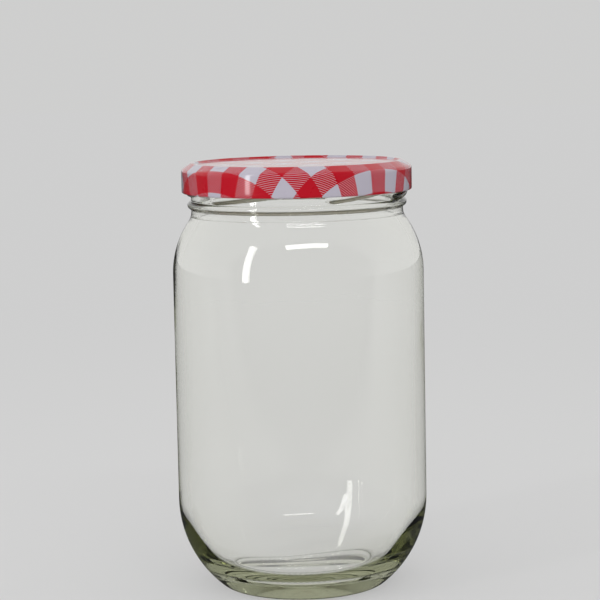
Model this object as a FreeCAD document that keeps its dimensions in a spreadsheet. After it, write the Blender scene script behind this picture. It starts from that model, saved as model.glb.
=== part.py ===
import FreeCAD, Part

# Storage jar: a round glass jar with ramps on its neck and a pressed sheet-metal twist-off lid.
#
# Millimetres, +Z up.  The origin is the middle of the ring that the jar stands on.
# Three pieces: the glass jar, the lid and the sealing ring between the lid and the rim.

import os
from math import atan2, cos, hypot, radians, sin, sqrt

import Sketcher
from FreeCAD import Placement, Rotation, Vector

SIZES = {
    # glass: base, wall and heel
    "jar_height": 157.5,  # table to rim
    "body_diameter": 93.4,
    "glass_wall": 3.2,
    "heel_curve": 41.7,  # radius of the long curve from the wall to the base
    "bearing_diameter": 56.6,  # outer edge of the flat ring that the jar stands on
    "bearing_width": 1.4,
    "bearing_round": 5.2,
    "push_up": 3.0,  # rise of the hollow under the base
    "floor_height": 9.0,  # table to the inside of the base
    "floor_corner": 14.0,  # radius of the inside curve from the floor up into the heel
    # glass: shoulder and neck
    "shoulder_curve": 33.5,
    "waist_curve": 6.5,  # hollow curve between the shoulder and the neck
    "neck_length": 16.3,  # straight neck, up to the rim
    "neck_diameter": 78.6,
    "neck_wall": 3.1,
    "rim_round": 1.1,
    "bead_drop": 13.9,  # rim to the middle of the bead
    "bead_rise": 1.35,  # how far the bead stands out of the neck
    "bead_round": 1.5,
    # ramps that the lugs of the lid slide under
    "ramp_count": 6,
    "ramp_turn": 21.5,  # direction of the middle of one ramp, from +X
    "ramp_drop": 8.5,  # rim to the middle of a ramp
    "ramp_lead": 28.3,  # rise of a ramp in one whole turn
    "ramp_rise": 1.7,  # how far a ramp stands out of the neck
    "ramp_round": 1.25,
    "ramp_reach": 27.0,  # angle from the middle of a ramp to where it starts to run out
    "run_out_curve": 10.0,
    "run_out_angle": 50.0,
    # lid
    "lid_height": 11.0,  # lower edge to crest
    "lid_sheet": 0.25,
    "lid_clearance": 0.3,  # ramps to the curl of the lid
    "curl_round": 0.7,
    "slope_height": 2.3,  # crest to the top of the skirt
    "skirt_corner": 1.2,
    "slope_width": 3.65,  # side of the skirt in to the crest
    "crest_corner": 0.9,
    "crest_width": 1.0,
    "panel_recess": 0.65,
    "panel_bevel": 0.5,
    "panel_corner": 0.4,
    "lug_height": 1.1,
    "lug_angle": 8.0,
    "lug_reach": 1.05,  # how far a lug goes under a ramp
    "lug_clearance": 0.1,  # lug to the ramp above it
    # sealing ring
    "seal_height": 0.7,
    "seal_width": 2.1,
}

# Expressions that more than one sketch or piece follows.
BODY_R = "Sizes.body_diameter / 2"
NECK_R = "Sizes.neck_diameter / 2"
BORE_R = f"({NECK_R} - Sizes.neck_wall)"
BEARING_R = "Sizes.bearing_diameter / 2"
HEEL_START = (
    "(Sizes.bearing_round + sqrt((Sizes.heel_curve - Sizes.bearing_round) ^ 2"
    f" - ({BEARING_R} - {BODY_R} + Sizes.heel_curve) ^ 2))"
)
NECK_START = "(Sizes.jar_height - Sizes.neck_length)"
SHOULDER_START = (
    f"({NECK_START} - sqrt((Sizes.shoulder_curve + Sizes.waist_curve) ^ 2"
    f" - (Sizes.shoulder_curve + Sizes.waist_curve - {BODY_R} + {NECK_R}) ^ 2))"
)
ROD_R = f"({NECK_R} + Sizes.ramp_rise - Sizes.ramp_round)"  # axis to the middle line of a ramp
CURL_R = f"({NECK_R} + Sizes.ramp_rise + Sizes.lid_clearance + Sizes.curl_round)"
LID_R = f"({CURL_R} + Sizes.curl_round)"
CREST_R = f"({LID_R} - Sizes.slope_width)"
LID_BASE = "(Sizes.jar_height + Sizes.seal_height + Sizes.lid_sheet + Sizes.panel_recess - Sizes.lid_height)"
# The lid is screwed down until the start of each lug is just under its ramp.
LUG_START = (
    f"asin(({LID_BASE} + Sizes.lug_height + Sizes.lug_clearance"
    " - Sizes.jar_height + Sizes.ramp_drop + Sizes.ramp_round) * 2 * pi / Sizes.ramp_lead)"
)


def size(name):
    return SIZES[name]


def make_sheet(doc):
    """Spreadsheet that drives every piece, with one aliased cell for each size."""
    sheet = doc.addObject("Spreadsheet::Sheet", "Sizes")
    for row, (name, number) in enumerate(SIZES.items(), start=1):
        sheet.set(f"A{row}", name)
        sheet.set(f"B{row}", str(number))
        sheet.setAlias(f"B{row}", name)
    doc.recompute()
    return sheet


def worked_out(thing, expression):
    """Present value of an expression of the sheet's aliases."""
    result = thing.evalExpression(expression)
    return float(getattr(result, "Value", result))


def origin_part(body, role):
    """Plane or axis of the body's own origin."""
    return next(feature for feature in body.Origin.OriginFeatures if feature.Role == role)


def touching(centre, radius, other, other_radius):
    """Point where two circles touch; other_radius is negative for a circle inside the first."""
    share = radius / (radius + other_radius)
    return tuple(a + (b - a) * share for a, b in zip(centre, other))


class Outline:
    """Sketch outline, drawn edge after edge, with sizes that follow the sheet."""

    def __init__(self, body, label, plane="XZ_Plane"):
        self.sketch = body.newObject("Sketcher::SketchObject", label)
        self.sketch.AttachmentSupport = [(origin_part(body, plane), "")]
        self.sketch.MapMode = "FlatFace"
        self.edges = []  # (edge, its start position, its end position)

    def rule(self, kind, *where):
        return self.sketch.addConstraint(Sketcher.Constraint(kind, *where))

    def line(self, start, end, smooth=False):
        """Straight edge; a smooth one is tangent to the edge before it."""
        edge = self.sketch.addGeometry(Part.LineSegment(Vector(*start), Vector(*end)))
        return self._join(edge, 1, 2, smooth)

    def arc(self, centre, start, end, smooth=True):
        """Round edge, the shorter way from start to end about its centre."""
        radius = hypot(start[0] - centre[0], start[1] - centre[1])
        circle = Part.Circle(Vector(*centre), Vector(0, 0, 1), radius)
        first, last = (atan2(point[1] - centre[1], point[0] - centre[0]) for point in (start, end))
        if sin(last - first) > 0:
            edge = self.sketch.addGeometry(Part.ArcOfCircle(circle, first, last))
            return self._join(edge, 1, 2, smooth)
        edge = self.sketch.addGeometry(Part.ArcOfCircle(circle, last, first))
        return self._join(edge, 2, 1, smooth)

    def circle(self, centre, radius):
        """Whole circle, placed and sized by expressions."""
        at = Vector(*(worked_out(self.sketch, part) for part in centre))
        self.sketch.addGeometry(Part.Circle(at, Vector(0, 0, 1), worked_out(self.sketch, radius)))
        self.follow(centre[0], "DistanceX", -1, 1, 0, 3)
        self.follow(centre[1], "DistanceY", -1, 1, 0, 3)
        self.follow(radius, "Radius", 0)

    def _join(self, edge, start, end, smooth):
        if self.edges:
            before, _, last = self.edges[-1]
            self.rule("Tangent" if smooth else "Coincident", before, last, edge, start)
        self.edges.append((edge, start, end))
        return edge

    def close(self):
        """Joins the last edge to the first, which starts on the axis."""
        edge, _, end = self.edges[-1]
        first, start, _ = self.edges[0]
        self.rule("Coincident", edge, end, first, start)
        self.rule("PointOnObject", first, start, -2)

    def level(self, *edges):
        for edge in edges:
            self.rule("Horizontal", edge)

    def upright(self, *edges):
        for edge in edges:
            self.rule("Vertical", edge)

    def across(self, edge, expression):
        """Distance from the axis to the start of an edge."""
        self.follow(expression, "DistanceX", -1, 1, edge, self.edges[edge][1])

    def above(self, edge, expression):
        """Height of the start of an edge."""
        self.follow(expression, "DistanceY", -1, 1, edge, self.edges[edge][1])

    def radius(self, edge, expression):
        self.follow(expression, "Radius", edge)

    def follow(self, expression, kind, *where):
        """Dimension that follows an expression."""
        number = worked_out(self.sketch, expression)
        index = self.rule(kind, *where, radians(number) if kind == "Angle" else number)
        self.sketch.setExpression(f"Constraints[{index}]", expression)


def revolve(doc, body, label, sketch, kind="Revolution"):
    """Full turn of a sketch about the axis: Revolution adds material, Groove takes it away."""
    feature = body.newObject(f"PartDesign::{kind}", label)
    feature.Profile = sketch
    feature.ReferenceAxis = (sketch, ["V_Axis"])
    feature.Angle = 360
    sketch.Visibility = False
    doc.recompute()
    return feature


def repeat(doc, body, label, feature):
    """One copy of a feature for each ramp, about the axis."""
    pattern = body.newObject("PartDesign::PolarPattern", label)
    pattern.Originals = [feature]
    pattern.Axis = (origin_part(body, "Z_Axis"), [""])
    pattern.Angle = 360
    pattern.setExpression("Occurrences", "Sizes.ramp_count")
    body.Tip = pattern
    doc.recompute()
    return pattern


def outside_outline(body):
    """Outside of the glass: bearing ring, heel, wall, shoulder and neck up to the rim."""
    outline = Outline(body, "outside_outline")
    wall, neck = size("body_diameter") / 2, size("neck_diameter") / 2
    heel_start, shoulder_start = (worked_out(body, z) for z in (HEEL_START, SHOULDER_START))
    heel = (wall - size("heel_curve"), heel_start)
    foot = (size("bearing_diameter") / 2, size("bearing_round"))
    shoulder = (wall - size("shoulder_curve"), shoulder_start)
    waist = (neck + size("waist_curve"), worked_out(body, NECK_START))
    rim, rim_round = size("jar_height"), size("rim_round")
    heel_end = touching(heel, size("heel_curve"), foot, -size("bearing_round"))
    shoulder_end = touching(shoulder, size("shoulder_curve"), waist, size("waist_curve"))

    base = outline.line((0, 0), (foot[0], 0))
    foot_arc = outline.arc(foot, (foot[0], 0), heel_end)
    heel_arc = outline.arc(heel, heel_end, (wall, heel_start))
    side = outline.line((wall, heel_start), (wall, shoulder_start), smooth=True)
    shoulder_arc = outline.arc(shoulder, (wall, shoulder_start), shoulder_end)
    waist_arc = outline.arc(waist, shoulder_end, (neck, waist[1]))
    straight = outline.line((neck, waist[1]), (neck, rim - rim_round), smooth=True)
    rim_centre = (neck - rim_round, rim - rim_round)
    rim_arc = outline.arc(rim_centre, (neck, rim - rim_round), (rim_centre[0], rim))
    top = outline.line((rim_centre[0], rim), (0, rim), smooth=True)
    middle = outline.line((0, rim), (0, 0))
    outline.close()

    outline.level(base, top)
    outline.upright(side, straight, middle)
    outline.rule("PointOnObject", base, 1, -1)
    outline.across(foot_arc, BEARING_R)
    outline.radius(foot_arc, "Sizes.bearing_round")
    outline.radius(heel_arc, "Sizes.heel_curve")
    outline.across(side, BODY_R)
    outline.radius(shoulder_arc, "Sizes.shoulder_curve")
    outline.radius(waist_arc, "Sizes.waist_curve")
    outline.across(straight, NECK_R)
    outline.above(straight, NECK_START)
    outline.radius(rim_arc, "Sizes.rim_round")
    outline.above(middle, "Sizes.jar_height")
    return outline.sketch


def cavity_outline(body):
    """Inside of the glass: flat floor, heel, wall, shoulder and bore with a rounded rim."""
    outline = Outline(body, "cavity_outline")
    wall = size("body_diameter") / 2 - size("glass_wall")
    bore = worked_out(body, BORE_R)
    heel_start, shoulder_start = (worked_out(body, z) for z in (HEEL_START, SHOULDER_START))
    heel_radius = size("heel_curve") - size("glass_wall")
    shoulder_radius = size("shoulder_curve") - size("glass_wall")
    waist_radius = size("waist_curve") + size("glass_wall")
    floor, corner_radius = size("floor_height"), size("floor_corner")
    rim, rim_round = size("jar_height"), size("rim_round")

    heel = (wall - heel_radius, heel_start)
    corner_fall = heel_start - floor - corner_radius
    corner = (heel[0] + sqrt((heel_radius - corner_radius) ** 2 - corner_fall**2), floor + corner_radius)
    corner_end = touching(heel, heel_radius, corner, -corner_radius)
    shoulder = (wall - shoulder_radius, shoulder_start)
    waist_x = bore + waist_radius
    waist_rise = sqrt((shoulder_radius + waist_radius) ** 2 - (waist_x - shoulder[0]) ** 2)
    waist = (waist_x, shoulder_start + waist_rise)
    shoulder_end = touching(shoulder, shoulder_radius, waist, waist_radius)

    base = outline.line((0, floor), (corner[0], floor))
    corner_arc = outline.arc(corner, (corner[0], floor), corner_end)
    heel_arc = outline.arc(heel, corner_end, (wall, heel_start))
    side = outline.line((wall, heel_start), (wall, shoulder_start), smooth=True)
    shoulder_arc = outline.arc(shoulder, (wall, shoulder_start), shoulder_end)
    waist_arc = outline.arc(waist, shoulder_end, (bore, waist[1]))
    straight = outline.line((bore, waist[1]), (bore, rim - rim_round), smooth=True)
    rim_centre = (bore + rim_round, rim - rim_round)
    rim_arc = outline.arc(rim_centre, (bore, rim_centre[1]), (rim_centre[0], rim))
    top = outline.line((rim_centre[0], rim), (0, rim))
    middle = outline.line((0, rim), (0, floor))
    outline.close()

    outline.level(base, top)
    outline.upright(side, straight, middle)
    outline.above(base, "Sizes.floor_height")
    outline.radius(corner_arc, "Sizes.floor_corner")
    outline.radius(heel_arc, "Sizes.heel_curve - Sizes.glass_wall")
    outline.across(side, f"{BODY_R} - Sizes.glass_wall")
    outline.above(side, HEEL_START)
    outline.radius(shoulder_arc, "Sizes.shoulder_curve - Sizes.glass_wall")
    outline.above(shoulder_arc, SHOULDER_START)
    outline.radius(waist_arc, "Sizes.waist_curve + Sizes.glass_wall")
    outline.across(straight, BORE_R)
    outline.radius(rim_arc, "Sizes.rim_round")
    outline.across(top, f"{BORE_R} + Sizes.rim_round")
    outline.above(middle, "Sizes.jar_height")
    return outline.sketch


def push_up_outline(body):
    """Shallow dome under the base, inside the bearing ring."""
    outline = Outline(body, "push_up_outline")
    edge = size("bearing_diameter") / 2 - size("bearing_width")
    rise = size("push_up")
    dome_radius = (edge**2 + rise**2) / (2 * rise)
    base = outline.line((0, 0), (edge, 0))
    dome = outline.arc((0, rise - dome_radius), (edge, 0), (0, rise), smooth=False)
    middle = outline.line((0, rise), (0, 0))
    outline.close()
    outline.level(base)
    outline.upright(middle)
    outline.rule("PointOnObject", base, 1, -1)
    outline.across(dome, f"{BEARING_R} - Sizes.bearing_width")
    outline.above(middle, "Sizes.push_up")
    outline.rule("PointOnObject", dome, 3, -2)
    return outline.sketch


def ramp_path(doc, body):
    """Middle line of a ramp: an arc round the neck, tilted, that turns into the glass at both ends."""
    outline = Outline(body, "ramp_path", "XY_Plane")
    sketch = outline.sketch
    sketch.AttachmentOffset = Placement(Vector(0, 0, 1), Rotation(Vector(1, 0, 0), 1))
    sketch.setExpression("AttachmentOffset.Base.z", "Sizes.jar_height - Sizes.ramp_drop")
    sketch.setExpression("AttachmentOffset.Rotation.Angle", f"asin(Sizes.ramp_lead / (2 * pi * {ROD_R}))")

    rod, run_out = worked_out(body, ROD_R), size("run_out_curve")
    reach, turn = radians(size("ramp_reach")), radians(size("run_out_angle"))

    def from_point(centre, radius, angle):
        return (centre[0] + radius * cos(angle), centre[1] + radius * sin(angle))

    low, high = (from_point((0, 0), rod - run_out, angle) for angle in (-reach, reach))
    low_end, high_end = (from_point((0, 0), rod, angle) for angle in (-reach, reach))
    run_in = outline.arc(low, from_point(low, run_out, -reach - turn), low_end)
    ridge = outline.arc((0, 0), low_end, high_end)
    run_off = outline.arc(high, high_end, from_point(high, run_out, reach + turn))

    outline.rule("Coincident", ridge, 3, -1, 1)
    outline.radius(ridge, ROD_R)
    outline.follow("2 * Sizes.ramp_reach * 1 deg", "Angle", ridge)
    outline.follow(f"{ROD_R} * sin(Sizes.ramp_reach * 1 deg)", "DistanceY", -1, 1, ridge, 2)
    for edge in (run_in, run_off):
        outline.radius(edge, "Sizes.run_out_curve")
        outline.follow("Sizes.run_out_angle * 1 deg", "Angle", edge)
    doc.recompute()
    return sketch


def add_ramps(doc, body):
    """Six ramps round the neck, each a round rod along the same tilted path."""
    path = ramp_path(doc, body)
    section = body.newObject("Sketcher::SketchObject", "ramp_section")
    section.AttachmentSupport = [(path, "Edge1")]
    section.MapMode = "NormalToEdge"
    section.MapPathParameter = 0
    section.addGeometry(Part.Circle(Vector(0, 0), Vector(0, 0, 1), size("ramp_round")))
    section.addConstraint(Sketcher.Constraint("Coincident", 0, 3, -1, 1))
    number = section.addConstraint(Sketcher.Constraint("Radius", 0, size("ramp_round")))
    section.setExpression(f"Constraints[{number}]", "Sizes.ramp_round")
    doc.recompute()

    ramp = body.newObject("PartDesign::AdditivePipe", "ramp")
    ramp.Profile = section
    ramp.Spine = (path, [f"Edge{number}" for number in range(1, len(path.Shape.Edges) + 1)])
    doc.recompute()
    return repeat(doc, body, "ramps", ramp)


def make_jar(doc):
    """Glass jar: the turned outside with bead and ramps, then the cavity and the push-up."""
    body = doc.addObject("PartDesign::Body", "jar")
    body.Label = "jar"
    revolve(doc, body, "glass_outside", outside_outline(body))
    bead = Outline(body, "bead_section")
    bead_middle = (f"{NECK_R} + Sizes.bead_rise - Sizes.bead_round", "Sizes.jar_height - Sizes.bead_drop")
    bead.circle(bead_middle, "Sizes.bead_round")
    revolve(doc, body, "bead", bead.sketch)
    solid = add_ramps(doc, body)
    cavity = revolve(doc, body, "cavity", cavity_outline(body), "Groove")
    push_up = revolve(doc, body, "push_up", push_up_outline(body), "Groove")
    if not solid.Shape.Volume > cavity.Shape.Volume > push_up.Shape.Volume:
        raise RuntimeError("the cavity or the push-up takes no glass away")
    body.Tip = push_up
    body.setExpression("Placement.Rotation.Angle", "Sizes.ramp_turn * 1 deg")
    doc.recompute()
    return body


def cap_outline(body):
    """Outside of the lid above the middle of its curl: skirt, slope, crest and sunk panel."""
    corners = (
        ("0", "Sizes.curl_round"),
        (LID_R, "Sizes.curl_round"),
        (LID_R, "Sizes.lid_height - Sizes.slope_height"),
        (CREST_R, "Sizes.lid_height"),
        (f"{CREST_R} - Sizes.crest_width", "Sizes.lid_height"),
        (f"{CREST_R} - Sizes.crest_width - Sizes.panel_bevel", "Sizes.lid_height - Sizes.panel_recess"),
        ("0", "Sizes.lid_height - Sizes.panel_recess"),
    )
    outline = Outline(body, "cap_outline")
    points = [tuple(worked_out(body, part) for part in corner) for corner in corners]
    for start, end in zip(points, points[1:] + points[:1]):
        outline.line(start, end)
    outline.close()
    for edge, (across, above) in enumerate(corners):
        outline.above(edge, above)
        if across != "0":
            outline.across(edge, across)
    outline.upright(len(corners) - 1)
    return outline.sketch


def round_edges(doc, body, label, base, places, radius):
    """Fillet of the round edges at the given (radius, height) places."""
    names = []
    for across, above in places:
        place = (worked_out(body, across), worked_out(body, above))
        for number, edge in enumerate(base.Shape.Edges, start=1):
            at = edge.Curve
            if isinstance(at, Part.Circle) and hypot(at.Radius - place[0], at.Center.z - place[1]) < 0.01:
                names.append(f"Edge{number}")
    if len(names) != len(places):
        raise RuntimeError(f"{label}: {len(names)} edges found for {len(places)} places")
    feature = body.newObject("PartDesign::Fillet", label)
    feature.Base = (base, names)
    feature.setExpression("Radius", radius)
    doc.recompute()
    return feature


def hollow_out(doc, body, cap):
    """Leaves only the sheet metal of the cap, open at its lower face."""
    lower = min(range(len(cap.Shape.Faces)), key=lambda number: cap.Shape.Faces[number].CenterOfMass.z)
    sheet = body.newObject("PartDesign::Thickness", "sheet")
    sheet.Base = (cap, [f"Face{lower + 1}"])
    sheet.Reversed = True
    sheet.setExpression("Value", "Sizes.lid_sheet")
    doc.recompute()
    if sheet.Shape.Volume > cap.Shape.Volume / 2:
        raise RuntimeError("the lid is not hollow")


def add_lugs(doc, body):
    """Lugs of the lid: short stretches of the curl, pressed inwards to go under the ramps."""
    outline = Outline(body, "lug_outline", "XY_Plane")
    inner_r = f"({NECK_R} + Sizes.ramp_rise - Sizes.lug_reach)"
    half = radians(size("lug_angle") / 2)
    inner, outer = worked_out(body, inner_r), worked_out(body, CURL_R)
    corners = [
        (radius * cos(angle), radius * sin(angle))
        for radius, angle in ((inner, -half), (outer, -half), (outer, half), (inner, half))
    ]
    low_side = outline.line(corners[0], corners[1])
    back = outline.arc((0, 0), corners[1], corners[2], smooth=False)
    outline.line(corners[2], corners[3])
    front = outline.arc((0, 0), corners[3], corners[0], smooth=False)
    outline.rule("Coincident", front, 1, low_side, 1)
    for arc, radius in ((back, CURL_R), (front, inner_r)):
        outline.rule("Coincident", arc, 3, -1, 1)
        outline.radius(arc, radius)
        outline.follow("Sizes.lug_angle * 1 deg", "Angle", arc)
        outline.follow(f"{radius} * sin(Sizes.lug_angle / 2 * 1 deg)", "DistanceY", -1, 1, arc, 2)

    lug = body.newObject("PartDesign::Pad", "lug")
    lug.Profile = outline.sketch
    lug.setExpression("Length", "Sizes.lug_height")
    doc.recompute()
    return repeat(doc, body, "lugs", lug)


def make_lid(doc):
    """Pressed lid: a rounded cap hollowed to its sheet, with a curled lower edge and six lugs."""
    body = doc.addObject("PartDesign::Body", "lid")
    body.Label = "lid"
    cap = revolve(doc, body, "cap", cap_outline(body))
    slope_foot = (LID_R, "Sizes.lid_height - Sizes.slope_height")
    cap = round_edges(doc, body, "skirt_corner", cap, [slope_foot], "Sizes.skirt_corner")
    crest = (CREST_R, "Sizes.lid_height")
    cap = round_edges(doc, body, "crest_corner", cap, [crest], "Sizes.crest_corner")
    inner_crest = (f"{CREST_R} - Sizes.crest_width", "Sizes.lid_height")
    panel_edge = (f"{inner_crest[0]} - Sizes.panel_bevel", "Sizes.lid_height - Sizes.panel_recess")
    cap = round_edges(doc, body, "panel_corners", cap, [inner_crest, panel_edge], "Sizes.panel_corner")
    hollow_out(doc, body, cap)
    curl = Outline(body, "curl_section")
    curl.circle((CURL_R, "Sizes.curl_round"), "Sizes.curl_round")
    revolve(doc, body, "curl", curl.sketch)
    add_lugs(doc, body)
    body.setExpression("Placement.Base.z", LID_BASE)
    half_lug = "Sizes.lug_angle / 2 * 1 deg"
    body.setExpression("Placement.Rotation.Angle", f"Sizes.ramp_turn * 1 deg + {LUG_START} + {half_lug}")
    doc.recompute()
    return body


def make_sealing_ring(doc):
    """Flat ring of sealing compound, squeezed between the rim and the panel of the lid."""
    body = doc.addObject("PartDesign::Body", "sealing_ring")
    body.Label = "sealing_ring"
    outline = Outline(body, "seal_outline", "XY_Plane")
    middle = f"({BORE_R} + Sizes.neck_wall / 2)"
    for edge, side in enumerate(("-", "+")):
        radius = f"{middle} {side} Sizes.seal_width / 2"
        outline.sketch.addGeometry(Part.Circle(Vector(0, 0), Vector(0, 0, 1), worked_out(body, radius)))
        outline.rule("Coincident", edge, 3, -1, 1)
        outline.radius(edge, radius)
    ring = body.newObject("PartDesign::Pad", "ring")
    ring.Profile = outline.sketch
    ring.setExpression("Length", "Sizes.seal_height")
    body.setExpression("Placement.Base.z", "Sizes.jar_height")
    doc.recompute()
    return body


def check(doc, bodies):
    """Stops the build if any object failed or any piece is not one valid solid."""
    for thing in doc.Objects:
        if {"Invalid", "Error"} & set(thing.State):
            raise RuntimeError(f"{thing.Label} failed: {thing.State}")
    for body in bodies:
        shape = body.Shape
        if shape.isNull() or not shape.isValid() or len(shape.Solids) != 1:
            raise RuntimeError(f"{body.Label} is not one valid solid")


def write_steps(bodies):
    os.makedirs("parts", exist_ok=True)
    for body in bodies:
        body.Shape.exportStep(f"parts/{body.Label}.step")
        box = body.Shape.BoundBox
        print(f"{body.Label}: {body.Shape.Volume:.1f} mm3, {box}")


def main():
    doc = FreeCAD.newDocument("storage_jar")
    make_sheet(doc)
    bodies = [make_jar(doc), make_lid(doc), make_sealing_ring(doc)]
    doc.recompute()
    check(doc, bodies)
    write_steps(bodies)


main()
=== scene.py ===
# %% [markdown]
# # A glass storage jar with a gingham lid
# The CAD model gives the true size and place of three pieces: the jar, its twist-off lid and the
# sealing ring.  This notebook dresses them: glass with thick, slightly uneven walls, and tinplate
# printed with a woven check that the press has bent over the edge of the lid.

from math import acos, asin, atan2, ceil, cos, degrees, dist, pi, radians, sin, sqrt, tau

import bmesh
import bpy
from mathutils import Matrix, Vector


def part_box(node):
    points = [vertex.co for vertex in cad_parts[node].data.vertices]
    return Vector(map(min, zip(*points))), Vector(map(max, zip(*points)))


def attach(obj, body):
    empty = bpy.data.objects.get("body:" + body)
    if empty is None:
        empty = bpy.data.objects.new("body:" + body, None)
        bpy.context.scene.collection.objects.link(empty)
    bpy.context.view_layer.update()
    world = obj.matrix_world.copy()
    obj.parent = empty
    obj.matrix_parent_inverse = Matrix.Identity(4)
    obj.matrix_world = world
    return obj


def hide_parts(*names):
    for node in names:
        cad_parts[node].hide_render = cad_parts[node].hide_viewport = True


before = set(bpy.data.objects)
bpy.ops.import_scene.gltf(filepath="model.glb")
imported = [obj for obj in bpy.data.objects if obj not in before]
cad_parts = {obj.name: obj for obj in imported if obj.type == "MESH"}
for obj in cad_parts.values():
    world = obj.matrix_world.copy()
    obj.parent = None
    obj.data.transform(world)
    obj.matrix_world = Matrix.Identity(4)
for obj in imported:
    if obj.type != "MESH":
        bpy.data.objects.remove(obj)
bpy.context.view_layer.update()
MM = 0.001
jar_low, jar_high = (Vector(corner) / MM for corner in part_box("jar"))
lid_low, lid_high = (Vector(corner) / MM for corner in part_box("lid"))
print("jar", jar_low, jar_high, "lid", lid_low, lid_high)

# %% [markdown]
# ## Expressions instead of wires
# Geometry Nodes and shader nodes both have a Math node.  Wiring dozens of them by hand is hard to
# read, so a small class wraps a socket: adding two wrapped sockets adds a Math node.  A board makes
# any other node from its type, its settings and what goes into its sockets.  Many nodes hold one
# socket for each kind of data under the same name, and only the enabled one is meant.

# %% Expression
class Expression:
    """The output socket of a node, for use in Python sums."""

    def __init__(self, board, socket):
        self.board = board
        self.socket = socket

    def math(self, operation, *others):
        return self.board.math(operation, self, *others)

    def __add__(self, other):
        return self.math("ADD", other)

    def __sub__(self, other):
        return self.math("SUBTRACT", other)

    def __rsub__(self, other):
        return self.board.math("SUBTRACT", other, self)

    def __mul__(self, other):
        return self.math("MULTIPLY", other)

    def __truediv__(self, other):
        return self.math("DIVIDE", other)

    def __mod__(self, other):
        return self.math("FLOORED_MODULO", other)

    def __lt__(self, other):
        return self.math("LESS_THAN", other)

    def __gt__(self, other):
        return self.math("GREATER_THAN", other)

    def __abs__(self):
        return self.math("ABSOLUTE")

    __radd__ = __add__
    __rmul__ = __mul__

    def root(self):
        return self.math("MAXIMUM", 0).math("SQRT")

    def between(self, low, high):
        """1 from low to high, and 0 outside."""
        return (self > low) * (self < high)

    def ease(self, low, high):
        """Smooth step from 0 at low to 1 at high."""
        share = ((self - low) / (high - low)).math("MAXIMUM", 0).math("MINIMUM", 1)
        return share * share * (3 - 2 * share)

    def hump(self, centre, width):
        """Smooth bump of height 1 at centre."""
        away = (self - centre) / width
        return (-1 * away * away).math("EXPONENT")


# %% Board
class Board:
    """A node tree under construction."""

    def __init__(self, tree):
        self.tree = tree

    def feed(self, made, key, item):
        """Gives a socket, found by its number or its name, a wrapped socket or a constant."""
        if isinstance(key, int):
            socket = made.inputs[key]
        else:
            socket = next(one for one in made.inputs if one.name == key and one.enabled)
        if isinstance(item, Expression):
            self.tree.links.new(item.socket, socket)
        else:
            socket.default_value = item

    def node(self, kind, settings=None, inputs=None, output=0):
        """Makes a node and wraps one of its outputs, found by its number or its name."""
        made = self.tree.nodes.new(kind)
        for name, setting in (settings or {}).items():
            setattr(made, name, setting)
        for key, item in (inputs or {}).items():
            self.feed(made, key, item)
        if isinstance(output, int):
            return Expression(self, [socket for socket in made.outputs if socket.enabled][output])
        return Expression(self, made.outputs[output])

    def math(self, operation, *items):
        return self.node("ShaderNodeMath", {"operation": operation}, dict(enumerate(items)))

    def mix(self, factor, first, second):
        """Colour that goes from first to second."""
        inputs = {"Factor": factor, "A": first, "B": second}
        return self.node("ShaderNodeMix", {"data_type": "RGBA"}, inputs)

    def parts(self, vector):
        """The three numbers of a vector."""
        split = self.tree.nodes.new("ShaderNodeSeparateXYZ")
        self.tree.links.new(vector.socket, split.inputs[0])
        return [Expression(self, socket) for socket in split.outputs]

    def joined(self, x, y, z=0.0):
        """The vector of three numbers."""
        return self.node("ShaderNodeCombineXYZ", None, {0: x, 1: y, 2: z})


# %% [markdown]
# ## The camera
# A long lens far from the jar, a little above its lid and to its right, turned back towards it and
# leaning a little.

# %% Camera
LENS_PLACE = Vector((0.0918, -0.7727, 0.2012))
LENS_TURN, LENS_PITCH, LENS_ROLL = radians(6.745), radians(6.896), radians(-1.12)
camera_data = bpy.data.cameras.new("camera")
camera_data.lens = 125.8
camera_data.sensor_width = 36
camera_data.clip_start = 0.01
camera = bpy.data.objects.new("camera", camera_data)
bpy.context.scene.collection.objects.link(camera)
turn = Matrix.Rotation(LENS_TURN, 4, "Z") @ Matrix.Rotation(pi / 2 - LENS_PITCH, 4, "X")
turn = turn @ Matrix.Rotation(LENS_ROLL, 4, "Z")
camera.matrix_world = Matrix.Translation(LENS_PLACE) @ turn
bpy.context.scene.camera = camera
print("camera", tuple(LENS_PLACE))

# %% [markdown]
# ## Turning a half section
# Glass is blown into a round mould and tinplate is pressed by round dies, so both pieces are half
# sections turned about Z.  A half section is a list of points made of arcs and straight runs.  Each
# point also carries numbers that the turned surface keeps: whether it is inside, and how far it lay
# from the middle of the flat sheet before pressing.

# %% Runs of a half section
SAME_POINT = 1e-4


def arc(centre, radius, start, end, steps):
    """Points of an arc; the angles are in degrees, from +X."""
    angles = [radians(start + (end - start) * step / steps) for step in range(steps + 1)]
    return [(centre[0] + radius * cos(angle), centre[1] + radius * sin(angle)) for angle in angles]


def straight(start, end, steps):
    return [tuple(a + (b - a) * step / steps for a, b in zip(start, end))
            for step in range(steps + 1)]


def joined(*runs):
    """One list of the runs' points, without the doubles where they meet."""
    points = [runs[0][0]]
    for point in (point for run in runs for point in run):
        if dist(point, points[-1]) > SAME_POINT:
            points.append(point)
    return points


def half_section(name, points, **numbers):
    """Mesh object of the half section, with a number at each point for every name given."""
    mesh = bpy.data.meshes.new(name)
    edges = [(step, step + 1) for step in range(len(points) - 1)]
    mesh.from_pydata([(x * MM, 0, z * MM) for x, z in points], edges, [])
    for key, values in numbers.items():
        mesh.attributes.new(key, "FLOAT", "POINT").data.foreach_set("value", values)
    piece = bpy.data.objects.new(name, mesh)
    bpy.context.scene.collection.objects.link(piece)
    return piece


# %% [markdown]
# ## The lathe
# The Geometry Nodes tree takes a half section and lays a grid of its points round the axis.  Before
# the grid is placed, a rule for each piece may move the surface in or out, or up or down, as a
# function of where it is: that is how the ramps, the lugs and the uneven walls come in.

# %% Lathe tree
WELD = 2e-6


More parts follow.
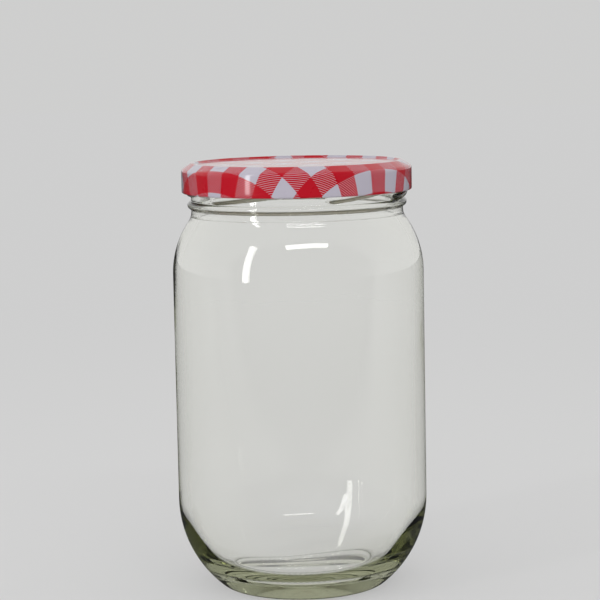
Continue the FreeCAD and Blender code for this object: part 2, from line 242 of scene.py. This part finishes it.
def lathe_tree(name, rule, keep=()):
    """Tree that turns a half section.  rule(board, r, z, angle, inside) returns the new r and z."""
    tree = bpy.data.node_groups.new(name, "GeometryNodeTree")
    tree.interface.new_socket("Half section", in_out="INPUT", socket_type="NodeSocketGeometry")
    for label in ("Rows", "Steps"):
        tree.interface.new_socket(label, in_out="INPUT", socket_type="NodeSocketInt")
    tree.interface.new_socket("Finish", in_out="INPUT", socket_type="NodeSocketMaterial")
    tree.interface.new_socket("Piece", in_out="OUTPUT", socket_type="NodeSocketGeometry")
    board = Board(tree)
    given = tree.nodes.new("NodeGroupInput")
    section, rows, steps, finish = (Expression(board, socket) for socket in list(given.outputs)[:4])

    grid = board.node("GeometryNodeMeshGrid", None, {"Vertices X": rows, "Vertices Y": steps + 1})
    index = board.node("GeometryNodeInputIndex")
    row = (index / (steps + 1)).math("FLOOR")
    angle = (index % (steps + 1)) * tau / steps

    def sampled(kind, item):
        inputs = {"Geometry": section, "Value": item, "Index": row}
        return board.node("GeometryNodeSampleIndex", {"data_type": kind, "domain": "POINT"}, inputs)

    def number(key):
        named = board.node("GeometryNodeInputNamedAttribute", {"data_type": "FLOAT"}, {"Name": key})
        return sampled("FLOAT", named)

    place = board.parts(sampled("FLOAT_VECTOR", board.node("GeometryNodeInputPosition")))
    inside = number("inside")
    radius, height = rule(board, place[0] / MM, place[2] / MM, angle, inside)
    cosine, sine = angle.math("COSINE"), angle.math("SINE")
    spot = board.joined(radius * MM * cosine, radius * MM * sine, height * MM)

    shape = grid
    kept = {"inside": ("FLOAT", inside)}
    if "flat_radius" in keep:
        flat = number("flat_radius")
        kept["flat"] = ("FLOAT_VECTOR", board.joined(flat * cosine, flat * sine))
    for key, (kind, item) in kept.items():
        settings = {"data_type": kind, "domain": "POINT"}
        inputs = {"Geometry": shape, "Name": key, "Value": item}
        shape = board.node("GeometryNodeStoreNamedAttribute", settings, inputs)
    shape = board.node("GeometryNodeSetPosition", None, {"Geometry": shape, "Position": spot})
    shape = board.node("GeometryNodeMergeByDistance", None, {"Geometry": shape, "Distance": WELD})
    shape = board.node("GeometryNodeSetShadeSmooth", None, {"Geometry": shape})
    shape = board.node("GeometryNodeRealizeInstances", None, {"Geometry": shape})
    shape = board.node("GeometryNodeSetMaterial", None, {"Geometry": shape, "Material": finish})
    result = tree.nodes.new("NodeGroupOutput")
    tree.links.new(shape.socket, result.inputs[0])
    return tree


# %% [markdown]
# ## From the tree to a mesh
# The tree is run once and its result becomes the piece's own mesh, so that no modifier is left to
# work out.  The grid wraps round the axis, so its faces are then turned to point outwards.

# %% Turned piece
def turned(section, tree, steps, finish):
    """Plain mesh object of the turned half section, with its faces pointing outwards."""
    modifier = section.modifiers.new("lathe", "NODES")
    modifier.node_group = tree
    values = {"Rows": len(section.data.vertices), "Steps": steps, "Finish": finish}
    for item in tree.interface.items_tree:
        if item.in_out == "INPUT" and item.name in values:
            modifier[item.identifier] = values[item.name]
    ready = section.evaluated_get(bpy.context.evaluated_depsgraph_get())
    mesh = bpy.data.meshes.new_from_object(ready)
    section.modifiers.remove(modifier)
    shell = bmesh.new()
    shell.from_mesh(mesh)
    bmesh.ops.recalc_face_normals(shell, faces=shell.faces)
    shell.to_mesh(mesh)
    shell.free()
    section.data = mesh
    triangles = sum(len(face.vertices) - 2 for face in mesh.polygons)
    print(section.name, len(mesh.vertices), "vertices", triangles, "triangles")
    return section


# %% [markdown]
# ## The glass half section
# The outside follows the mould: a shallow dome under the base, the ring it stands on, one long heel
# curve, a straight wall, the shoulder, a hollow waist, the bead and the finish that takes the lid.
# The inside is only pressed air, so it is rounder: thick at the base and at the shoulder.

# %% Sizes of the glass
BODY_R = jar_high.x
RIM_Z = jar_high.z
WALL = 3.2
HEEL_CURVE, FOOT_CURVE = 41.7, 5.2
BEARING_R, BEARING_WIDTH = 28.3, 1.4
PUSH_UP, FLOOR_Z, FLOOR_CORNER = 3.0, 9.0, 14.0
SHOULDER_CURVE, WAIST_CURVE = 33.5, 6.5
NECK_R, BORE_R, NECK_LENGTH, RIM_ROUND = 39.3, 36.2, 16.3, 1.1
BEAD_Z, BEAD_RISE, BEAD_ROUND = RIM_Z - 13.9, 1.35, 1.5
RAMP_TURN, RAMP_Z, RAMP_LEAD = radians(21.5), RIM_Z - 8.5, 28.3
RAMP_RISE, RAMP_ROUND, RAMP_REACH, RUN_OUT = 1.7, 1.25, radians(27), 10

foot_rise = sqrt((HEEL_CURVE - FOOT_CURVE) ** 2 - (BEARING_R - BODY_R + HEEL_CURVE) ** 2)
HEEL_Z = FOOT_CURVE + foot_rise
HEEL_X = BODY_R - HEEL_CURVE
shoulder_reach = SHOULDER_CURVE + WAIST_CURVE
SHOULDER_Z = RIM_Z - NECK_LENGTH - sqrt(shoulder_reach**2 - (shoulder_reach - BODY_R + NECK_R) ** 2)
print("heel starts at", round(HEEL_Z, 2), "shoulder starts at", round(SHOULDER_Z, 2))


# %% Outside and inside runs
def glass_outside():
    dome = (BEARING_R - BEARING_WIDTH, PUSH_UP)
    dome_radius = (dome[0] ** 2 + PUSH_UP**2) / (2 * PUSH_UP)
    dome_edge = 90 - degrees(asin(dome[0] / dome_radius))
    heel_angle = -degrees(atan2(foot_rise, BEARING_R - HEEL_X))
    shoulder_angle = degrees(acos((shoulder_reach - BODY_R + NECK_R) / shoulder_reach))
    bead_angle = degrees(acos((BEAD_ROUND - BEAD_RISE) / BEAD_ROUND))
    waist = (NECK_R + WAIST_CURVE, RIM_Z - NECK_LENGTH)
    bead_x = NECK_R + BEAD_RISE - BEAD_ROUND
    bead_half = BEAD_ROUND * sin(radians(bead_angle))
    return joined(
        arc((0, PUSH_UP - dome_radius), dome_radius, 90, dome_edge, 18),
        straight((dome[0], 0), (BEARING_R, 0), 3),
        arc((BEARING_R, FOOT_CURVE), FOOT_CURVE, -90, heel_angle, 8),
        arc((HEEL_X, HEEL_Z), HEEL_CURVE, heel_angle, 0, 36),
        straight((BODY_R, HEEL_Z), (BODY_R, SHOULDER_Z), 34),
        arc((BODY_R - SHOULDER_CURVE, SHOULDER_Z), SHOULDER_CURVE, 0, shoulder_angle, 20),
        arc(waist, WAIST_CURVE, shoulder_angle - 180, -180, 10),
        straight((NECK_R, RIM_Z - NECK_LENGTH), (NECK_R, BEAD_Z - bead_half), 2),
        arc((bead_x, BEAD_Z), BEAD_ROUND, -bead_angle, bead_angle, 14),
        straight((NECK_R, BEAD_Z + bead_half), (NECK_R, RIM_Z - RIM_ROUND), 40),
        arc((NECK_R - RIM_ROUND, RIM_Z - RIM_ROUND), RIM_ROUND, 0, 90, 6),
    )


def glass_inside():
    wall_x = BODY_R - WALL
    heel_radius = HEEL_CURVE - WALL
    corner_z = FLOOR_Z + FLOOR_CORNER
    corner_x = HEEL_X + sqrt((heel_radius - FLOOR_CORNER) ** 2 - (HEEL_Z - corner_z) ** 2)
    corner_angle = -degrees(atan2(HEEL_Z - corner_z, corner_x - HEEL_X))
    shoulder_radius, waist_radius = SHOULDER_CURVE - WALL, WAIST_CURVE + WALL
    shoulder_x = wall_x - shoulder_radius
    waist_x = BORE_R + waist_radius
    waist_rise = sqrt(shoulder_reach**2 - (waist_x - shoulder_x) ** 2)
    waist_angle = degrees(atan2(waist_rise, waist_x - shoulder_x))
    return joined(
        arc((BORE_R + RIM_ROUND, RIM_Z - RIM_ROUND), RIM_ROUND, 90, 180, 6),
        straight((BORE_R, RIM_Z - RIM_ROUND), (BORE_R, SHOULDER_Z + waist_rise), 10),
        arc((waist_x, SHOULDER_Z + waist_rise), waist_radius, -180, waist_angle - 180, 10),
        arc((shoulder_x, SHOULDER_Z), shoulder_radius, waist_angle, 0, 20),
        straight((wall_x, SHOULDER_Z), (wall_x, HEEL_Z), 34),
        arc((HEEL_X, HEEL_Z), heel_radius, 0, corner_angle, 26),
        arc((corner_x, corner_z), FLOOR_CORNER, corner_angle, -90, 16),
        straight((corner_x, FLOOR_Z), (0, FLOOR_Z), 16),
    )


outside, inside = glass_outside(), glass_inside()
flags = [0.0] * len(outside) + [1.0] * len(inside)
jar_section = half_section("glass_jar", outside + inside, inside=flags)
print("rows of the glass", len(flags))

# %% [markdown]
# ## What the glass rule adds
# Six ramps climb anticlockwise round the finish.  Each one overlaps the next, so even and odd ramps
# are worked out apart and the higher surface wins; their low ends differ between the two halves of
# the mould.  Hot glass never settles evenly, so the inside wall gets long shallow waves, the floor
# leans a little, and more glass gathers in the heel at the two sides than in front.

# %% Ramps
RAMP_CUT, SHORT_RAMP = radians(8), radians(25 - 90)
RAMPS = 6


def ramp_height(board, angle, z, first):
    """How far the ramps of every second place stand out of the neck."""
    period = 2 * tau / RAMPS
    along = (angle - first + period / 2) % period - period / 2
    cut = ((angle - SHORT_RAMP) * 4).math("COSINE") * RAMP_CUT * (along < 0)
    run = (abs(along) - RAMP_REACH + cut).math("MAXIMUM", 0) * NECK_R
    rise = RAMP_RISE - run * run / (2 * (RUN_OUT + RAMP_ROUND))
    away = z - RAMP_Z - along * (RAMP_LEAD / tau)
    beyond = 4 * (abs(away) > RAMP_ROUND)
    return rise - RAMP_ROUND + (RAMP_ROUND**2 - away * away).root() - beyond


print("ramps", RAMPS, "standing out", RAMP_RISE, "mm")

# %% Glass rule
FLOOR_LEAN, LEAN_SPAN = 0.03, 18
HEEL_GATHER, HEEL_GATHER_Z, HEEL_GATHER_SPAN, GATHER_FROM_R = 2.0, 14, 10, 20
WAVE, WAVE_LENGTH = 0.24, 26.0
WAVE_FOOT, WAVE_TOP = (12, 40), (RIM_Z - 30, RIM_Z - 20)


def glass_rule(board, r, z, angle, inside):
    even = ramp_height(board, angle, z, RAMP_TURN)
    odd = ramp_height(board, angle, z, RAMP_TURN + tau / RAMPS)
    ramps = even.math("MAXIMUM", odd).math("MAXIMUM", 0)
    finish = (1 - inside) * z.between(BEAD_Z + 0.5, RIM_Z - RIM_ROUND) * (r > NECK_R - 0.2)
    spot = board.joined(r * angle.math("COSINE"), r * angle.math("SINE"), z * 0.5)
    inputs = {"Vector": spot, "Scale": 1 / WAVE_LENGTH, "Detail": 1.0}
    waves = board.node("ShaderNodeTexNoise", None, inputs)
    wave = (waves - 0.5) * 2 * WAVE * z.ease(*WAVE_FOOT) * (1 - z.ease(*WAVE_TOP))
    low = 1 - z.ease(FLOOR_Z, FLOOR_Z + LEAN_SPAN)
    lean = r * angle.math("SINE") * FLOOR_LEAN * inside * low
    gather = HEEL_GATHER * z.hump(HEEL_GATHER_Z, HEEL_GATHER_SPAN) * (r > GATHER_FROM_R)
    thick = (angle * 2).math("COSINE") * gather
    return r + ramps * finish + (wave - thick) * inside, z + lean


print("floor leans by", round(FLOOR_LEAN * BEARING_R, 2), "mm at the bearing ring")

# %% [markdown]
# ## The lid
# The sheet is 0.25 mm thick.  Its top runs from the sunk panel over the crest and the slope to the
# skirt, rolls into the curl and comes back inside.  Pressing keeps the area of the sheet, so a ring
# of the lid lay at the radius whose disc has the same area: that flat radius is what bends the
# printed check into curves on the skirt.

# %% Sizes of the lid
SHEET = 0.25
LID_R = lid_high.x
LID_TOP, LID_EDGE = lid_high.z, lid_low.z
CREST_R, CREST_WIDTH, PANEL_DROP, PANEL_BEVEL = 39.05, 1.0, 0.65, 0.5
SLOPE_HEIGHT, CURL = 2.3, 0.7
PANEL_CURVE, CREST_CURVE, SKIRT_CURVE = 0.4, 0.9, 1.3
LONGEST_RUN = 1.1
LUG_REACH, LUG_HALF, LUG_TOP, LUG_PLAY = 1.05, radians(4), 1.1, 0.1
print("lid", round(LID_R * 2, 2), "mm across and", round(LID_TOP - LID_EDGE, 2), "mm high")

# %% Rounded and refined lines

def rounded(corners, radii, steps=6):
    """Points of a broken line whose corners are rounded by arcs."""
    points = [corners[0]]
    for before, corner, after, radius in zip(corners, corners[1:], corners[2:], radii):
        corner = Vector(corner)
        back = (Vector(before) - corner).normalized()
        on = (Vector(after) - corner).normalized()
        half = back.angle(on) / 2
        centre = corner + (back + on).normalized() * (radius / sin(half))
        start = corner + back * (radius * cos(half) / sin(half)) - centre
        end = corner + on * (radius * cos(half) / sin(half)) - centre
        sweep = start.angle_signed(end)
        for step in range(steps + 1):
            points.append(tuple(centre + Matrix.Rotation(-sweep * step / steps, 2) @ start))
    return points + [corners[-1]]


def refined(points, longest):
    """The same line with no run longer than the given length."""
    result = [points[0]]
    for start, end in zip(points, points[1:]):
        steps = max(1, ceil(dist(start, end) / longest))
        result += straight(start, end, steps)[1:]
    return result


# %% Outline of the sheet
def lid_skin(inset):
    """One face of the sheet, from the middle of the panel to the curl.

    The shares of the inset keep the two faces about one sheet apart at the corners."""
    corners = [
        (0, LID_TOP - PANEL_DROP - inset),
        (CREST_R - CREST_WIDTH - PANEL_BEVEL - inset * 0.4, LID_TOP - PANEL_DROP - inset),
        (CREST_R - CREST_WIDTH + inset * 0.3, LID_TOP - inset),
        (CREST_R - inset * 0.2, LID_TOP - inset),
        (LID_R - inset, LID_TOP - SLOPE_HEIGHT - inset * 0.4),
        (LID_R - inset, LID_EDGE + CURL),
    ]
    panel_radii = (PANEL_CURVE + inset * 0.5, PANEL_CURVE - inset * 0.5)
    radii = panel_radii + (CREST_CURVE - inset, SKIRT_CURVE - inset)
    return refined(rounded(corners, radii), LONGEST_RUN)


def lid_outline():
    outer = lid_skin(0)
    curl_centre = (LID_R - CURL, LID_EDGE + CURL)
    curl = arc(curl_centre, CURL, 0, -270, 20)
    inner = lid_skin(SHEET)[::-1]
    above_curl = (LID_R - SHEET, LID_EDGE + 2 * CURL)
    return joined(outer, curl, [above_curl] + inner[1:])


lid_points = lid_outline()
print("rows of the lid", len(lid_points))

# %% Flat radii and the lid's half section
CURL_ROWS = 6
curl_start = min(range(len(lid_points)), key=lambda n: lid_points[n][1])
flat_radii, squared = [], 0.0
for number, point in enumerate(lid_points):
    if number:
        before = lid_points[number - 1]
        squared += (point[0] + before[0]) * dist(point, before)
    flat_radii.append(sqrt(squared))
inner_flags = [float(number > curl_start + CURL_ROWS) for number in range(len(lid_points))]
lid_section = half_section("gingham_lid", lid_points, inside=inner_flags, flat_radius=flat_radii)
print("flat radius at the edge", round(flat_radii[curl_start], 2))

# %% [markdown]
# ## The lugs
# Six short stretches of the curl are pressed inwards, one under each ramp.  The rule finds how far
# along its ramp a lug touches the glass, and pulls the curl in there.

# %% Lid rule
drop = LID_EDGE + LUG_TOP + LUG_PLAY - RAMP_Z + RAMP_ROUND
LUG_MIDDLE = RAMP_TURN + asin(drop * tau / RAMP_LEAD) + LUG_HALF


def lid_rule(board, r, z, angle, inside):
    pitch = tau / RAMPS
    along = abs((angle - LUG_MIDDLE + pitch / 2) % pitch - pitch / 2)
    lug = 1 - along.ease(LUG_HALF * 0.6, LUG_HALF * 1.2)
    curl = 1 - r.ease(LID_R - 2 * CURL, LID_R - CURL * 0.4)
    low = 1 - z.ease(LID_EDGE + CURL, LID_EDGE + 2 * CURL + 0.2)
    return r - lug * curl * low * LUG_REACH, z


print("first lug at", round(degrees(LUG_MIDDLE), 1), "degrees")

# %% [markdown]
# ## Clear glass
# A Principled shader with full transmission and the index of soda-lime glass bends the light.  An
# absorbing volume gives the grey-green of the thick base, where light is caught by many inner
# reflections.  Fine relief goes through a bump: the two seams of the mould, its parting line under
# the bead and the knurled ring that the jar stands on.  The knurled ring and a thin ring on the
# inside floor are also darkened in the base colour, a painted shade for the dark look that
# refraction gives them.

# %% Helpers for materials
def new_material(name):
    material = bpy.data.materials.new(name)
    material.use_nodes = True
    material.node_tree.nodes.clear()
    return material, Board(material.node_tree)


def finish_material(board, surface, volume=None):
    output = board.tree.nodes.new("ShaderNodeOutputMaterial")
    board.tree.links.new(surface.socket, output.inputs["Surface"])
    if volume:
        board.tree.links.new(volume.socket, output.inputs["Volume"])


def place_in_mm(board):
    """X, Y and Z of the shaded point, the distance from the axis and the angle round it."""
    spot = board.node("ShaderNodeTexCoord", output="Object")
    x, y, z = (part / MM for part in board.parts(spot))
    return x, y, z, (x * x + y * y).root(), y.math("ARCTAN2", x)


def fine_noise(board, scale, detail):
    """Noise that is fixed to the piece; the scale counts its cells in a metre."""
    spot = board.node("ShaderNodeTexCoord", output="Object")
    inputs = {"Vector": spot, "Scale": scale, "Detail": detail}
    return board.node("ShaderNodeTexNoise", None, inputs)


def bump(board, height, distance):
    inputs = {"Height": height, "Distance": distance, "Strength": 1.0}
    return board.node("ShaderNodeBump", None, inputs)


# %% Glass material
SEAM_ANGLE = radians(33.7 - 90)
PARTING_Z = RIM_Z - 17.9
KNURLS, KNURL_INNER, KNURL_OUTER, KNURL_TOP = 80, (27.1, 27.6), (28.8, 29.6), 16
FLOOR_RING_R = 28.0
# The second colour is a painted shade that darkens the knurled ring and the inner floor ring.
CLEAR, KNURL_SHADE = (1, 1, 1, 1), (0.2, 0.21, 0.18, 1)
GREY_GREEN, ABSORPTION = (0.60, 0.62, 0.43, 1), 28.0


def make_glass():
    material, board = new_material("clear_glass")
    _, _, z, r, angle = place_in_mm(board)
    side = (angle - SEAM_ANGLE + pi / 2) % pi - pi / 2
    seam = (side * r).hump(0, 0.22) * z.ease(20, 30) * (r > NECK_R - 1)
    seam = seam * (0.03 + 0.15 * z.between(PARTING_Z, BEAD_Z - 1))
    parting = z.hump(PARTING_Z, 0.16) * 0.1 * (r > NECK_R - 1)
    marks = ((angle * KNURLS).math("COSINE") - 0.2).math("MAXIMUM", 0) * 0.3
    inside = board.node("ShaderNodeAttribute", {"attribute_name": "inside"}, output="Fac")
    # The knurl marks and the inner floor ring are both a bump and a painted shade in the base
    # colour.
    knurl_relief_and_shade = marks * r.ease(*KNURL_INNER) * (1 - r.ease(*KNURL_OUTER)) * (z < KNURL_TOP)
    knurl_relief_and_shade = knurl_relief_and_shade + r.hump(FLOOR_RING_R, 0.3) * 0.5 * inside * (z < KNURL_TOP)
    relief = seam + parting + knurl_relief_and_shade + fine_noise(board, 45.0, 2.0) * 0.05
    # Base colour: clear glass, darkened at the knurls and the floor ring as painted shade.
    surface = board.node("ShaderNodeBsdfPrincipled", None, {
        "Base Color": board.mix((knurl_relief_and_shade * 3).math("MINIMUM", 1), CLEAR, KNURL_SHADE),
        "Transmission Weight": 1.0, "IOR": 1.52, "Roughness": 0.0,
        "Normal": bump(board, relief, MM)})
    inputs = {"Color": GREY_GREEN, "Density": ABSORPTION}
    volume = board.node("ShaderNodeVolumeAbsorption", None, inputs)
    finish_material(board, surface, volume)
    return material


print("knurls", KNURLS, "parting line at", round(PARTING_Z, 2), "mm")


# %% [markdown]
# ## Printed tinplate
# The coordinates are those of the flat sheet, so the press has already bent them. A clear lacquer
# over the print gives the sharp highlights, and a dull gold one covers the inside.

# %% Gingham material
BAND = 7.5
CHECK_TURN = radians(6.2)
FIRST_CORNER = Vector((-10.57, -45.67))
LINE_PITCH = BAND * sqrt(2) / 15.5
LINE_TURN = radians(1.5)
RED = (0.52, 0.004, 0.016, 1)
WHITE = (0.53, 0.50, 0.58, 1)
LACQUER = (0.80, 0.74, 0.56, 1)


def make_gingham():
    material, board = new_material("printed_tinplate")
    flat = board.node("ShaderNodeAttribute", {"attribute_name": "flat"}, output="Vector")
    u, v, _ = board.parts(flat)

    def along(direction, x, y):
        return x * cos(direction) + y * sin(direction)

    bands = []
    for side, shift in ((-pi / 4, 0), (pi / 4, BAND)):
        direction = CHECK_TURN + side
        start = along(direction, *FIRST_CORNER)
        phase = (along(direction, u, v) - start + shift) / (2 * BAND) % 1
        bands.append(phase < 0.5)
    across = along(LINE_TURN + pi / 2, u, v) / LINE_PITCH % 1
    lines = across.ease(0.06, 0.14) * (1 - across.ease(0.88, 0.96))
    both = bands[0] * bands[1]
    one = (bands[0] + bands[1]) * (1 - both)
    ink = both + one * lines
    wear = fine_noise(board, 180.0, 3.0)
    inside = board.node("ShaderNodeAttribute", {"attribute_name": "inside"}, output="Fac")
    ripple = fine_noise(board, 60.0, 1.0)
    surface = board.node("ShaderNodeBsdfPrincipled", None, {
        "Base Color": board.mix(inside, board.mix(ink, WHITE, RED), LACQUER),
        "Roughness": 0.24 + wear * 0.08, "IOR": 1.5, "Specular IOR Level": 0.15,
        "Coat Weight": 0.9, "Coat Roughness": 0.08,
        "Normal": bump(board, ripple, MM * 0.06)})
    finish_material(board, surface)
    return material


print("bands of", BAND, "mm, lines every", round(LINE_PITCH, 2), "mm")

# %% [markdown]
# ## Sealing compound
# The ring between the rim and the lid is poured as a paste and cured, so it is pale, matt and
# slightly uneven.  Its shape is the one of the CAD model, and only its finish is made here.

# %% Compound material

DARK_CREAM, PALE_CREAM = (0.62, 0.60, 0.55, 1), (0.74, 0.72, 0.67, 1)


def make_compound():
    material, board = new_material("seal_compound")
    grain = fine_noise(board, 400.0, 3.0)
    surface = board.node("ShaderNodeBsdfPrincipled", None, {
        "Base Color": board.mix(grain, DARK_CREAM, PALE_CREAM), "Roughness": 0.55 + grain * 0.2,
        "Normal": bump(board, grain, MM * 0.1)})
    finish_material(board, surface)
    return material


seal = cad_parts["sealing_ring"]
for slot in seal.material_slots:
    slot.material = make_compound()
print("compound on", seal.name)

# %% [markdown]
# ## Turning the pieces
# The two half sections are turned with their materials, each piece is attached to the body it rides
# on, and the solid of the CAD model that it stands in for is hidden.

# %% Turn the pieces
JAR_STEPS, LID_STEPS = 256, 360
glass = make_glass()
jar = turned(jar_section, lathe_tree("glass_lathe", glass_rule), JAR_STEPS, glass)
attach(jar, "root")
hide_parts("jar")

lid_lathe = lathe_tree("lid_lathe", lid_rule, keep=("flat_radius",))
lid = turned(lid_section, lid_lathe, LID_STEPS, make_gingham())
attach(lid, "root")
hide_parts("lid")

# %% [markdown]
# ## The room
# Clear glass only shows what is round it, so the room matters as much as the glass.  The backdrop
# is pale and the side of the room where the lens stands is darker.  The Light Path node tells how a
# ray got there, so the room has one level for rays that see it directly, one pair of levels for
# mirrored rays and one for rays that came through glass; everything else lights the pieces.

# %% Levels of the room
BACKDROP = 0.62
MIRRORED_ROOM, MIRRORED_BACKDROP = 0.05, 0.7
ROOM_THROUGH_GLASS, BACKDROP_THROUGH_GLASS = 0.40, 0.74
HORIZON, ZENITH_EXTRA = 0.48, 0.4


def room_rays(board):
    """1 for rays that look at the room directly, then by mirror, then through glass."""
    rays = board.tree.nodes.new("ShaderNodeLightPath")
    kinds = ("Camera", "Glossy", "Transmission")
    direct, sharp, through = (Expression(board, rays.outputs[f"Is {kind} Ray"]) for kind in kinds)
    return direct, sharp * (1 - through) * (1 - direct), through * (1 - direct)


def room_level(rays, back):
    """How bright the room looks to each kind of ray; back goes from 0 at the lens to 1."""
    direct, mirrored, through = rays
    by_mirror = MIRRORED_ROOM + (MIRRORED_BACKDROP - MIRRORED_ROOM) * back
    by_glass = ROOM_THROUGH_GLASS + (BACKDROP_THROUGH_GLASS - ROOM_THROUGH_GLASS) * back
    return direct * BACKDROP + mirrored * by_mirror + through * by_glass


print("backdrop", BACKDROP, "mirrored", MIRRORED_BACKDROP, "through glass", BACKDROP_THROUGH_GLASS)


# %% World
def make_world():
    world = bpy.data.worlds.new("room")
    bpy.context.scene.world = world
    world.use_nodes = True
    world.node_tree.nodes.clear()
    board = Board(world.node_tree)
    rays = room_rays(board)
    _, y, z = board.parts(board.node("ShaderNodeTexCoord", output="Generated"))
    back = (y - 0.55 * z).ease(-0.9, 0.4)
    lighting = HORIZON + ZENITH_EXTRA * z.math("MAXIMUM", 0)
    strength = room_level(rays, back) + (1 - sum(rays)) * lighting
    inputs = {"Color": (1, 1, 0.995, 1), "Strength": strength}
    light = board.node("ShaderNodeBackground", None, inputs)
    output = world.node_tree.nodes.new("ShaderNodeOutputWorld")
    board.tree.links.new(light.socket, output.inputs["Surface"])


make_world()
print("world", bpy.context.scene.world.name)

# %% [markdown]
# ## The table
# The table runs on into the backdrop without an edge.  Near the jar it is mostly paint, so that the
# jar's shadow falls on it, and further away it glows at the level of the room.

# %% Table
TABLE_EDGE, TABLE_DROP = 6.0, 0.0003
PAINT, TABLE_GLOW = (0.80, 0.80, 0.80, 1), 0.65
FAR, NEAR_BACK = (250, 900), (-220, -70)


def make_table():
    mesh = bpy.data.meshes.new("table")
    signs = ((-1, -1), (1, -1), (1, 1), (-1, 1))
    mesh.from_pydata([(TABLE_EDGE * a, TABLE_EDGE * b, 0) for a, b in signs], [], [(0, 1, 2, 3)])
    table = bpy.data.objects.new("table", mesh)
    bpy.context.scene.collection.objects.link(table)
    table.location.z = -TABLE_DROP
    material, board = new_material("pale_table")
    rays = room_rays(board)
    direct, mirrored, through = rays
    _, y, _, r, _ = place_in_mm(board)
    far, back = r.ease(*FAR), y.ease(*NEAR_BACK)
    glow_share = TABLE_GLOW + (1 - TABLE_GLOW) * far.math("MAXIMUM", 1 - back)
    share = glow_share * (direct + through) + mirrored
    paint = board.node("ShaderNodeBsdfDiffuse", None, {"Color": PAINT})
    level = room_level(rays, back * (1 - mirrored))
    glow = board.node("ShaderNodeEmission", None, {"Color": (1, 1, 1, 1), "Strength": level})
    finish_material(board, board.node("ShaderNodeMixShader", None, {0: share, 1: paint, 2: glow}))
    mesh.materials.append(material)
    return table


print("table", make_table().name)

# %% [markdown]
# ## Lamps
# One tall window stands at the left and one long lamp hangs high at the right; their reflections
# are the bright streaks on the shoulder and the heel.  Light bounces many times inside thick glass,
# so the limits on bounces are raised.

# %% Lamps
RADIANCE = 9
BOUNCES = 28


def make_lamp(name, azimuth, elevation, distance, width, height):
    """Rectangular lamp that faces the jar; azimuth 0 is in front and 90 at the right."""
    data = bpy.data.lights.new(name, "AREA")
    data.shape = "RECTANGLE"
    data.size = width
    data.size_y = height
    data.energy = RADIANCE * pi * width * height
    lamp = bpy.data.objects.new(name, data)
    bpy.context.scene.collection.objects.link(lamp)
    side, up = radians(azimuth), radians(elevation)
    direction = Vector((sin(side) * cos(up), -cos(side) * cos(up), sin(up)))
    aim = Vector((0, 0, jar_high.z * MM / 2))
    facing = direction.to_track_quat("Z", "Y").to_matrix().to_4x4()
    lamp.matrix_world = Matrix.Translation(aim + direction * distance) @ facing
    print(name, round(data.energy, 2), "W")


make_lamp("left_window", azimuth=-42, elevation=16, distance=1.6, width=0.14, height=1.3)
make_lamp("high_lamp", azimuth=17, elevation=43, distance=1.6, width=1.0, height=0.12)
bpy.context.scene.view_settings.view_transform = "Standard"
for kind in ("max_bounces", "transmission_bounces", "glossy_bounces"):
    setattr(bpy.context.scene.cycles, kind, BOUNCES)
